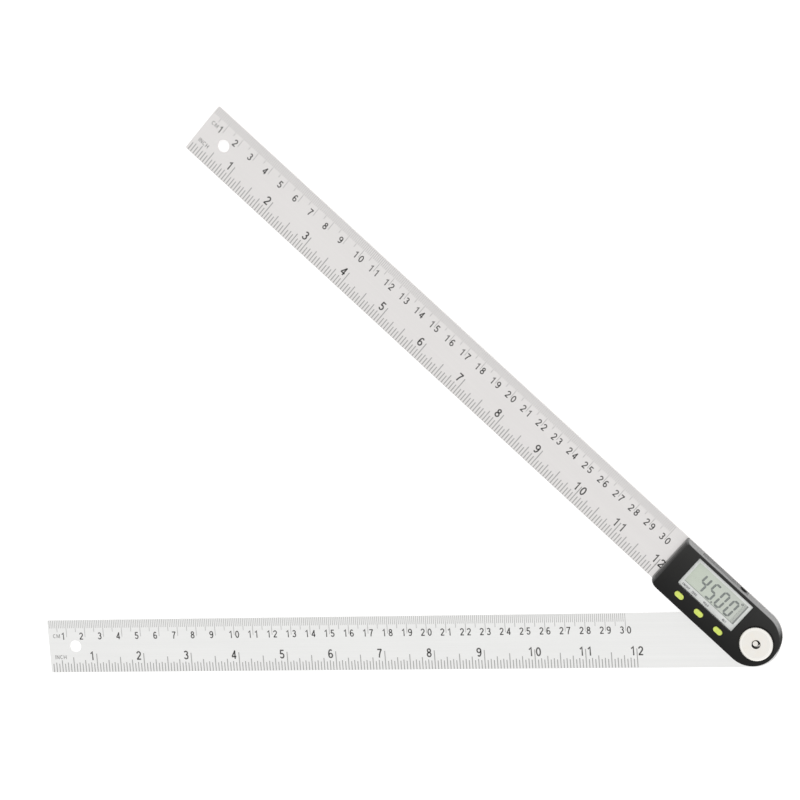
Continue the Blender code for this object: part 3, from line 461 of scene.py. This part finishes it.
FILM_CLOUD = 120.0
FILM_GRAIN = 9000.0
FILM_ENDS = (-45 * MM, -16 * MM)
FILM_COLOURS = ((0.595, 0.665, 0.545), (0.61, 0.635, 0.585))
FILM_PATCH = (0.60, 0.65, 0.56)
FILM_SPECK = (0.49, 0.54, 0.47)
FILM_DEPTH = 0.001 * MM


def display_film(name):
    """The liquid crystal cell's grey green film, a little greyer towards the knob."""
    tree = surface(name)
    cloud = tree.cloud(FILM_CLOUD, ARM_ANGLE)
    grain = tree.cloud(FILM_GRAIN, ARM_ANGLE, detail=1.0)
    along = tree.axes(tree.place(ARM_ANGLE))["X"]
    shade = tree.mix(tree.span(along, *FILM_ENDS), *FILM_COLOURS)
    shade = tree.patch(shade, cloud, FILM_PATCH, share=0.4)
    shade = tree.patch(shade, grain, FILM_SPECK, share=0.2, reach=(0.4, 0.7))
    tree.set(
        Base_Color=shade,
        Roughness=tree.spread(grain, 0.3, 0.42),
        Normal=tree.bump(grain, FILM_DEPTH, strength=0.3),
    )
    return tree.owner


INK_PATCHES = 2400.0
INK_REACH = (0.35, 0.7)


def printed_ink(name, colour, rough=0.5, gaps=0.25):
    """Ink or etching with small thin places."""
    tree = surface(name)
    patch = tree.cloud(INK_PATCHES, detail=3.0, roughness=0.6)
    thin = tree.span(patch, *INK_REACH)
    tree.set(
        Base_Color=tree.mix(thin, scaled(colour, 0.9), scaled(colour, 1.0 + gaps)),
        Roughness=tree.vary(patch, rough, down=0.06, up=0.08),
    )
    return tree.owner


BOARD_CELLS = (420.0, 420.0, 420.0)
BOARD_CLOUD = 150.0
BOARD_TRACK = (0.05, 0.27, 0.12)
BOARD_TRACK_REACH = (0.02, 0.05)
BOARD_MASKS = ((0.02, 0.13, 0.05), (0.03, 0.19, 0.08))
BOARD_DEPTH = -0.01 * MM


def circuit_board(name):
    """Solder mask over copper tracks."""
    tree = surface(name)
    tracks = tree.add("ShaderNodeTexVoronoi", feature="DISTANCE_TO_EDGE")
    tree.feed(tracks.inputs["Vector"], tree.place(ARM_ANGLE, BOARD_CELLS))
    line = tree.span(tracks.outputs["Distance"], *BOARD_TRACK_REACH)
    cloud = tree.cloud(BOARD_CLOUD)
    tree.set(
        Base_Color=tree.mix(line, BOARD_TRACK, tree.mix(tree.spread(cloud), *BOARD_MASKS)),
        Roughness=tree.spread(cloud, 0.35, 0.5),
        Normal=tree.bump(line, BOARD_DEPTH, strength=0.5),
    )
    return tree.owner


def dress(material, *names):
    for name in names:
        mesh = nodes[name].data
        mesh.materials.clear()
        mesh.materials.append(material)


# The reach and clearance of the bore's painted shadow crescent, on the stud's tip and inside the
# knob
STUD_BORE_SHADOW = (2.05 * MM, 1.25 * MM)
KNOB_BORE_SHADOW = (2.15 * MM, 1.90 * MM)
KNOB_GROOVE = 6.6 * MM
# The cell and the screws are brushed another way than the rules
CELL_TURN = 0.6
SCREW_TURN = 0.3
SCREWS = [f"housing_screw_{index}" for index in range(1, 5)]

# The two rules are the same steel; the display rule's is painted darker, a painted difference in
# reflection between the arms
dress(brushed_metal("lower_rule_steel", (0.845, 0.845, 0.835)), "lower_rule")
dress(brushed_metal("display_rule_steel_painted_darker", (0.775, 0.755, 0.745), ARM_ANGLE), "display_rule")
dress(brushed_metal("cell_steel", (0.72, 0.72, 0.73), CELL_TURN, rough=0.26), "coin_cell")
dress(brushed_metal("screw_steel", (0.32, 0.32, 0.33), SCREW_TURN, rough=0.34), *SCREWS)
dress(
    brushed_metal("contact_metal", (0.78, 0.72, 0.55), ARM_ANGLE, rough=0.3),
    "contact_negative",
    "contact_positive",
)
dress(
    turned_metal("stud_steel", (0.84, 0.82, 0.78), spread=0.3, bore=STUD_BORE_SHADOW),
    "pivot_stud",
)
dress(
    turned_metal("knob_metal", (0.865, 0.845, 0.80), bore=KNOB_BORE_SHADOW, groove=KNOB_GROOVE),
    "lock_knob",
)
dress(
    turned_metal("spring_steel", (0.45, 0.45, 0.46), rough=0.36, spread=0.2),
    "wave_washer",
    "retaining_ring",
)
dress(turned_metal("bush_brass", (0.72, 0.55, 0.26), spread=0.3), "pivot_bush")
dress(
    moulded_plastic("frame_white", (0.81, 0.83, 0.805), rough=0.45, wear=0.1, sheen=0.0),
    "lcd_frame",
)
dress(moulded_plastic("washer_plastic", (0.10, 0.10, 0.10), rough=0.55), "blade_washer")
dress(moulded_plastic("inner_plastic", (0.024, 0.024, 0.025), rough=0.52), "base_plate")
dress(moulded_plastic("chip_black", (0.02, 0.02, 0.02), rough=0.5), "controller_chip")
dress(moulded_plastic("dome_film", (0.72, 0.71, 0.67), rough=0.35, wear=0.1), "dome_sheet")
dress(shell_plastic("housing_plastic", (0.0185, 0.0185, 0.0180), polish=0.9), "front_housing")
dress(shell_plastic("tray_plastic", (0.0130, 0.0130, 0.0130), polish=0.65), "battery_tray")
dress(
    soft_button("button_rubber", (0.70, 0.82, 0.155)),
    "button_left",
    "button_middle",
    "button_right",
)
dress(display_film("display_film"), "lcd_glass")
dress(clear_window("window_clear"), "window_lens")
dress(circuit_board("board_green"), "circuit_board", "encoder_rotor")


# Flat pieces


def finish_piece(name, mesh, material, arm, height):
    """A printed piece that lies at a height in an arm's own frame and rides with it."""
    mesh.materials.clear()
    mesh.materials.append(material)
    piece = bpy.data.objects.new(name, mesh)
    piece.matrix_world = TURN[arm] @ Matrix.Translation((0, 0, height))
    bpy.context.scene.collection.objects.link(piece)
    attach(piece, arm)


def outlines_mesh(name, outlines):
    """Flat faces that look up."""
    made = bmesh.new()
    for points in outlines:
        face = made.faces.new([made.verts.new((x, y, 0)) for x, y in points])
        face.normal_update()
        if face.normal.z < 0:
            face.normal_flip()
    mesh = bpy.data.meshes.new(name)
    made.to_mesh(mesh)
    made.free()
    return mesh


def corner_outline(x0, y0, x1, y1):
    """A rectangle from its low corner to its high one."""
    return [(x0, y0), (x1, y0), (x1, y1), (x0, y1)]


def box_outline(x, y, wide, high):
    """A rectangle about its middle."""
    return corner_outline(x - wide / 2, y - high / 2, x + wide / 2, y + high / 2)


# Figures and letters, drawn as strokes one unit high


def bow(x, y, wide, high, start, end, steps=10):
    """Points along an ellipse from one angle in degrees to another."""
    angles = [math.radians(start + (end - start) * step / steps) for step in range(steps + 1)]
    return [(x + wide * math.cos(angle), y + high * math.sin(angle)) for angle in angles]


STEM = [(0.07, 0.0), (0.07, 1.0)]
SIX = [bow(0.28, 0.30, 0.21, 0.235, 0, 360, 20), bow(0.29, 0.5, 0.22, 0.435, 205, 50, 12)]
GLYPHS = {
    "0": [bow(0.28, 0.5, 0.215, 0.435, 0, 360, 24)],
    "1": [[(0.14, 0.74), (0.38, 0.955), (0.38, 0.0)]],
    "2": [
        [*bow(0.28, 0.70, 0.21, 0.235, 170, -35), (0.08, 0.08)],
        [(0.03, 0.065), (0.53, 0.065)],
    ],
    "3": [
        bow(0.27, 0.735, 0.19, 0.2, 155, -90),
        bow(0.27, 0.3, 0.215, 0.235, 90, -160, 12),
    ],
    "4": [
        [(0.41, 0.0), (0.41, 0.98)],
        [(0.44, 0.95), (0.07, 0.30)],
        [(0.02, 0.265), (0.56, 0.265)],
    ],
    "5": [
        [(0.50, 0.935), (0.14, 0.935), (0.10, 0.50)],
        bow(0.27, 0.32, 0.215, 0.255, 135, -155, 12),
    ],
    "6": SIX,
    "7": [
        [(0.03, 0.935), (0.54, 0.935)],
        [(0.51, 0.94), (0.36, 0.64), (0.26, 0.34), (0.22, 0.0)],
    ],
    "8": [
        bow(0.28, 0.745, 0.17, 0.19, 0, 360, 20),
        bow(0.28, 0.29, 0.21, 0.225, 0, 360, 20),
    ],
    "9": [[(0.56 - x, 1.0 - y) for x, y in stroke] for stroke in SIX],
    "C": [bow(0.34, 0.5, 0.27, 0.435, 48, 312, 14)],
    "D": [
        [
            (0.07, 0.065),
            (0.24, 0.065),
            *bow(0.24, 0.5, 0.28, 0.435, -80, 80),
            (0.24, 0.935),
            (0.07, 0.935),
        ],
        STEM,
    ],
    "E": [STEM, *[[(0.07, y), (0.5, y)] for y in (0.065, 0.5, 0.935)]],
    "F": [STEM, [(0.07, 0.5), (0.42, 0.5)], [(0.07, 0.935), (0.48, 0.935)]],
    "H": [STEM, [(0.53, 0.0), (0.53, 1.0)], [(0.07, 0.5), (0.53, 0.5)]],
    "I": [STEM],
    "L": [STEM[::-1], [(0.07, 0.065), (0.46, 0.065)]],
    "M": [STEM, [(0.09, 0.95), (0.36, 0.1), (0.63, 0.95)], [(0.65, 0.0), (0.65, 1.0)]],
    "N": [STEM, [(0.09, 0.95), (0.51, 0.05)], [(0.53, 0.0), (0.53, 1.0)]],
    "O": [bow(0.36, 0.5, 0.29, 0.435, 0, 360, 24)],
    "R": [
        STEM,
        [
            (0.07, 0.935),
            (0.3, 0.935),
            *bow(0.3, 0.715, 0.18, 0.22, 80, -80),
            (0.3, 0.495),
            (0.07, 0.495),
        ],
        [(0.3, 0.48), (0.5, 0.0)],
    ],
    "V": [[(0.03, 0.98), (0.29, 0.04), (0.55, 0.98)]],
    "Z": [
        [(0.04, 0.935), (0.5, 0.935)],
        [(0.49, 0.92), (0.05, 0.08)],
        [(0.04, 0.065), (0.52, 0.065)],
    ],
    "/": [[(0.02, -0.02), (0.34, 1.02)]],
}
USUAL_WIDTH = 0.56
GLYPH_WIDTHS = {
    "C": 0.64,
    "E": 0.54,
    "F": 0.5,
    "H": 0.6,
    "I": 0.14,
    "L": 0.48,
    "M": 0.72,
    "N": 0.6,
    "O": 0.72,
    "V": 0.58,
    "/": 0.36,
}
LETTER_GAP = 0.16
# A stroke whose ends lie nearer than this share of its width is closed
CLOSING_SHARE = 0.01
# A mitre at a sharp corner reaches no further than one at this cosine
SHARPEST_MITRE = 0.6


def word_strokes(text, x, y, height, weight, stretch=1.0):
    """A word's strokes, centred on its place, each with its width."""
    widths = [GLYPH_WIDTHS.get(letter, USUAL_WIDTH) * stretch for letter in text]
    left = x - (sum(widths) + LETTER_GAP * (len(text) - 1)) * height / 2
    strokes = []
    for letter, wide in zip(text, widths):
        for stroke in GLYPHS[letter]:
            points = [(left + px * stretch * height, y + (py - 0.5) * height) for px, py in stroke]
            strokes.append((points, weight))
        left += (wide + LETTER_GAP) * height
    return strokes


def stroke_edges(points, width):
    """The two edges of a band along the points, with mitred corners."""
    points = [Vector(point) for point in points]
    closed = (points[0] - points[-1]).length < width * CLOSING_SHARE
    steps = [(after - before).normalized() for before, after in zip(points, points[1:])]
    right, left = [], []
    for index, point in enumerate(points):
        first = steps[index - 1] if index or closed else steps[0]
        last = steps[0] if closed else steps[-1]
        second = steps[index] if index < len(steps) else last
        middle = (first + second).normalized()
        reach = width / 2 / max(middle.dot(second), SHARPEST_MITRE)
        side = Vector((-middle.y, middle.x)) * reach
        right.append(point - side)
        left.append(point + side)
    return right, left


def strokes_mesh(name, strokes):
    """Flat bands for a list of strokes."""
    places, faces = [], []
    for points, width in strokes:
        first = len(places)
        for pair in zip(*stroke_edges(points, width)):
            places += [(point.x, point.y, 0) for point in pair]
        for index in range(len(points) - 1):
            low = first + 2 * index
            faces.append((low, low + 2, low + 3, low + 1))
    mesh = bpy.data.meshes.new(name)
    mesh.from_pydata(places, [], faces)
    return mesh


# Scales

# A tick's length goes by the coarsest division that it belongs to, and these run from coarse to
# fine. The edge is where the ticks start, and inward the way that they run from it
Scale = namedtuple("Scale", "count pitch width lengths edge inward")
# Two figures stand straddle to each side of the tick, and a single one stands lead before it
Numbers = namedtuple("Numbers", "last pitch height y straddle lead stroke")

INCH = 25.4 * MM
SCALE_INSET = 0.25 * MM
CENTIMETRES = Scale(
    count=300,
    pitch=MM,
    width=0.24 * MM,
    lengths={10: 8.6 * MM, 5: 6.0 * MM, 1: 4.0 * MM},
    edge=RULE_HALF_WIDTH - SCALE_INSET,
    inward=-1,
)
INCHES = Scale(
    count=192,
    pitch=INCH / 16,
    width=0.48 * MM,
    lengths={16: 9.4 * MM, 8: 7.6 * MM, 4: 6.1 * MM, 2: 4.9 * MM, 1: 4.3 * MM},
    edge=SCALE_INSET - RULE_HALF_WIDTH,
    inward=1,
)
CENTIMETRE_NUMBERS = Numbers(
    last=30,
    pitch=10 * MM,
    height=3.6 * MM,
    y=5.2 * MM,
    straddle=1.75 * MM,
    lead=2.1 * MM,
    stroke=0.55 * MM,
)
INCH_NUMBERS = Numbers(
    last=12,
    pitch=INCH,
    height=4.4 * MM,
    y=-5.1 * MM,
    straddle=2.0 * MM,
    lead=2.7 * MM,
    stroke=0.70 * MM,
)
# Pairs of figures stand this much early
PAIR_LEAD = 0.15 * MM
UNIT_PLACES = {"CM": (4.4 * MM, 5.3 * MM), "INCH": (5.8 * MM, -5.6 * MM)}
UNIT_HEIGHT = 2.0 * MM
UNIT_STROKE = 0.3 * MM
UNIT_STRETCH = 1.3


def scale_ticks(scale):
    """A scale's lines, measured from the rule's free end."""
    outlines = []
    for index in range(1, scale.count + 1):
        x = index * scale.pitch - RULE_REACH
        length = next(length for step, length in scale.lengths.items() if index % step == 0)
        low, high = sorted((scale.edge, scale.edge + scale.inward * length))
        outlines.append(corner_outline(x - scale.width / 2, low, x + scale.width / 2, high))
    return outlines


def scale_numbers(layout):
    strokes = []
    for number in range(1, layout.last + 1):
        x = number * layout.pitch - RULE_REACH
        figures = str(number)
        offsets = (-layout.straddle - PAIR_LEAD, layout.straddle - PAIR_LEAD)
        if len(figures) == 1:
            offsets = (-layout.lead,)
        for figure, offset in zip(figures, offsets):
            strokes += word_strokes(figure, x + offset, layout.y, layout.height, layout.stroke)
    return strokes


def unit_words():
    strokes = []
    for word, (x, y) in UNIT_PLACES.items():
        place = (x - RULE_REACH, y)
        strokes += word_strokes(word, *place, UNIT_HEIGHT, UNIT_STROKE, UNIT_STRETCH)
    return strokes


number_ink = printed_ink("number_ink", (0.085, 0.083, 0.08))
cm_tick_ink = printed_ink("cm_tick_ink", (0.38, 0.375, 0.37), rough=0.45)
inch_tick_ink = printed_ink("inch_tick_ink", (0.38, 0.375, 0.37), rough=0.45)
unit_ink = printed_ink("unit_ink", (0.26, 0.255, 0.25))

for arm, node in (("lower_arm", "lower_rule"), ("display_arm", "display_rule")):
    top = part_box(node)[1].z + PRINT_LIFT
    numbers = scale_numbers(CENTIMETRE_NUMBERS) + scale_numbers(INCH_NUMBERS)
    marks = {
        "cm_ticks": (outlines_mesh("cm_ticks", scale_ticks(CENTIMETRES)), cm_tick_ink),
        "inch_ticks": (outlines_mesh("inch_ticks", scale_ticks(INCHES)), inch_tick_ink),
        "numbers": (strokes_mesh("numbers", numbers), number_ink),
        "units": (strokes_mesh("units", unit_words()), unit_ink),
    }
    for kind, (mesh, ink) in marks.items():
        finish_piece(f"{node}_{kind}", mesh, ink, arm, top)


# Display figures

READING = "4500"
# The point stands this many digits on from the first one's middle
POINT_DIGITS = 1.5
SEGMENTS = {"0": "abcdef", "4": "bcfg", "5": "acdfg"}
DIGIT_WIDTH = 4.0 * MM
DIGIT_HEIGHT = 9.4 * MM
DIGIT_PITCH = 5.73 * MM
DIGIT_MIDDLE_Y = 3.9 * MM
DIGIT_LEAN = 0.065
FIRST_DIGIT_X = -37.2 * MM
SEGMENT_WIDTH = 1.08 * MM
SEGMENT_GAP = 0.08 * MM
POINT = 0.8 * MM
DEGREE_PLACE = (-17.55 * MM, 9.1 * MM)
DEGREE_RADIUS = 0.62 * MM
DEGREE_WIDTH = 0.42 * MM
DEGREE_STEPS = 20


def segment_outline(start, end):
    """A bar with pointed ends between two points."""
    start, end = Vector(start), Vector(end)
    along = (end - start).normalized()
    side = Vector((-along.y, along.x)) * (SEGMENT_WIDTH / 2)
    start, end = start + along * SEGMENT_GAP, end - along * SEGMENT_GAP
    tip = along * (SEGMENT_WIDTH / 2)
    return [start, start + tip + side, end - tip + side, end, end - tip - side, start + tip - side]


def digit_outlines(figure, x, y):
    half_w, half_h = (DIGIT_WIDTH - SEGMENT_WIDTH) / 2, (DIGIT_HEIGHT - SEGMENT_WIDTH) / 2
    left, right = x - half_w, x + half_w
    high, low = y + half_h, y - half_h
    ends = {
        "a": ((left, high), (right, high)),
        "b": ((right, y), (right, high)),
        "c": ((right, low), (right, y)),
        "d": ((left, low), (right, low)),
        "e": ((left, low), (left, y)),
        "f": ((left, y), (left, high)),
        "g": ((left, y), (right, y)),
    }
    return [segment_outline(*ends[part]) for part in SEGMENTS[figure]]


def ring_outlines(x, y, radius, width, steps):
    """A ring as a row of small quads."""
    outlines = []
    for step in range(steps):
        start, end = math.tau * step / steps, math.tau * (step + 1) / steps
        corners = [(radius - width, start), (radius, start), (radius, end), (radius - width, end)]
        outlines.append([(x + r * math.cos(a), y + r * math.sin(a)) for r, a in corners])
    return outlines


def leaning(outline):
    """The outline leaned over to the right, as the display's figures are."""
    return [(x + (y - DIGIT_MIDDLE_Y) * DIGIT_LEAN, y) for x, y in outline]


display_outlines = []
for index, figure in enumerate(READING):
    display_outlines += digit_outlines(figure, FIRST_DIGIT_X + DIGIT_PITCH * index, DIGIT_MIDDLE_Y)
point_x = FIRST_DIGIT_X + DIGIT_PITCH * POINT_DIGITS
point_y = DIGIT_MIDDLE_Y - (DIGIT_HEIGHT - POINT) / 2
display_outlines.append(box_outline(point_x, point_y, POINT, POINT))
display_outlines += ring_outlines(*DEGREE_PLACE, DEGREE_RADIUS, DEGREE_WIDTH, DEGREE_STEPS)
display_outlines = [leaning(outline) for outline in display_outlines]

# The dark seal along the display's near edge, the fine lines before it and the line at its
# foot. Each bar has its middle, its width and its height
SEAL = (-14.72 * MM, 4.5 * MM, 0.8 * MM, 11.6 * MM)
SEAL_LINES = 5
SEAL_LINE_START = 0.65 * MM
SEAL_LINE_PITCH = 0.3 * MM
SEAL_LINE_WIDTH = 0.08 * MM
SEAL_FOOT = (-29.8 * MM, -1.18 * MM, 31.0 * MM, 0.2 * MM)
seal_x, seal_y, _, seal_height = SEAL
seal_outlines = [box_outline(*SEAL)]
for index in range(SEAL_LINES):
    line_x = seal_x - (SEAL_LINE_START + SEAL_LINE_PITCH * index)
    seal_outlines.append(box_outline(line_x, seal_y, SEAL_LINE_WIDTH, seal_height))
seal_outlines.append(box_outline(*SEAL_FOOT))

lcd_ink = printed_ink("lcd_ink", (0.13, 0.155, 0.14), rough=0.4, gaps=0.15)
seal_ink = printed_ink("seal_ink", (0.20, 0.215, 0.205), gaps=0.2)
display_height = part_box("lcd_glass")[1].z + PRINT_LIFT
for name, outlines, ink in (
    ("display_figures", display_outlines, lcd_ink),
    ("display_seal", seal_outlines, seal_ink),
):
    mesh = outlines_mesh(name, outlines)
    finish_piece(name, mesh, ink, "display_arm", display_height)


# Button legends on the white strip

LEGENDS = {"ON/OFF": -42.7 * MM, "ZERO": -37.5 * MM, "HOLD": -30.1 * MM, "REV": -18.5 * MM}
LEGEND_Y = -2.8 * MM
LEGEND_HEIGHT = 1.05 * MM
LEGEND_STROKE = 0.25 * MM
legend_strokes = []
for word, x in LEGENDS.items():
    legend_strokes += word_strokes(word, x, LEGEND_Y, LEGEND_HEIGHT, LEGEND_STROKE)
legend_ink = printed_ink("legend_ink", (0.13, 0.13, 0.14))
legend_mesh = strokes_mesh("button_legends", legend_strokes)
strip_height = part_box("lcd_frame")[1].z + PRINT_LIFT
finish_piece(
    "button_legends", legend_mesh, legend_ink, "display_arm", strip_height
)


# Studio: floor, soft lights, background and camera

FLOOR_HALF = 3.0
FLOOR_CLOUD = 3.0
FLOOR_SHADES = ((0.86, 0.86, 0.86), (0.88, 0.88, 0.88))
FLOOR_GLOW = 0.5
WORLD_LIGHT = 0.80
# The point on the bench that the lamps look at
MIDDLE = Vector((-0.14, 0.10, 0.0))


def floor_material():
    """A pale matt board that keeps the shadow and reads as white."""
    tree = surface("floor_pale")
    tree.set(
        Base_Color=tree.mix(tree.spread(tree.cloud(FLOOR_CLOUD)), *FLOOR_SHADES),
        Roughness=0.85,
        Emission_Color=WHITE,
        Emission_Strength=tree.product(tree.seen_directly(), FLOOR_GLOW),
    )
    return tree.owner


def soft_light(name, offset, side, energy, colour):
    """A square soft box that looks at the middle of the tool."""
    lamp = bpy.data.lights.new(name, "AREA")
    lamp.shape = "RECTANGLE"
    lamp.size = lamp.size_y = side
    lamp.energy = energy
    lamp.color = colour
    soft_box = bpy.data.objects.new(name, lamp)
    soft_box.location = MIDDLE + Vector(offset)
    soft_box.rotation_euler = (-Vector(offset)).to_track_quat("-Z", "Y").to_euler()
    # The bright metal mirrors the even surroundings and no lamp, so it keeps its tone from
    # every side
    soft_box.visible_glossy = False
    bpy.context.scene.collection.objects.link(soft_box)


floor_outline = corner_outline(-FLOOR_HALF, -FLOOR_HALF, FLOOR_HALF, FLOOR_HALF)
floor_mesh = outlines_mesh("floor", [floor_outline])
floor_mesh.materials.append(floor_material())
floor = bpy.data.objects.new("floor", floor_mesh)
floor.location.z = cad_box[0].z
bpy.context.scene.collection.objects.link(floor)

soft_light("key", offset=(0.7, 1.3, 1.3), side=1.3, energy=6.0, colour=(1.0, 0.99, 0.97))
soft_light("fill", offset=(-1.5, 1.1, 0.9), side=1.2, energy=4.0, colour=(0.97, 0.985, 1.0))

world = bpy.data.worlds.new("studio")
bpy.context.scene.world = world
backdrop = Tree(world, "Background")
strength = backdrop.span(backdrop.seen_directly(), 0.0, 1.0, WORLD_LIGHT, 1.0)
backdrop.set(Strength=strength, Color=WHITE)

# The camera was fitted to the rules' corners and scale marks in the photograph
CAMERA_PLACE = (0.32153, 0.36721, 1.56242)
CAMERA_RIGHT = (0.95447546, -0.0783425, -0.28781775)
CAMERA_UP = (0.030971, 0.9857071, -0.16559681)
CAMERA_BACK = (0.29667727, 0.14914409, 0.94325958)
CAMERA_SENSOR = 36.0
CAMERA_LENS = 153.785
camera_data = bpy.data.cameras.new("camera")
camera_data.sensor_width = CAMERA_SENSOR
camera_data.lens = CAMERA_LENS
camera = bpy.data.objects.new("camera", camera_data)
facing = Matrix((CAMERA_RIGHT, CAMERA_UP, CAMERA_BACK)).transposed().to_4x4()
camera.matrix_world = Matrix.Translation(CAMERA_PLACE) @ facing
bpy.context.scene.collection.objects.link(camera)
bpy.context.scene.camera = camera
bpy.context.scene.view_settings.view_transform = "Standard"
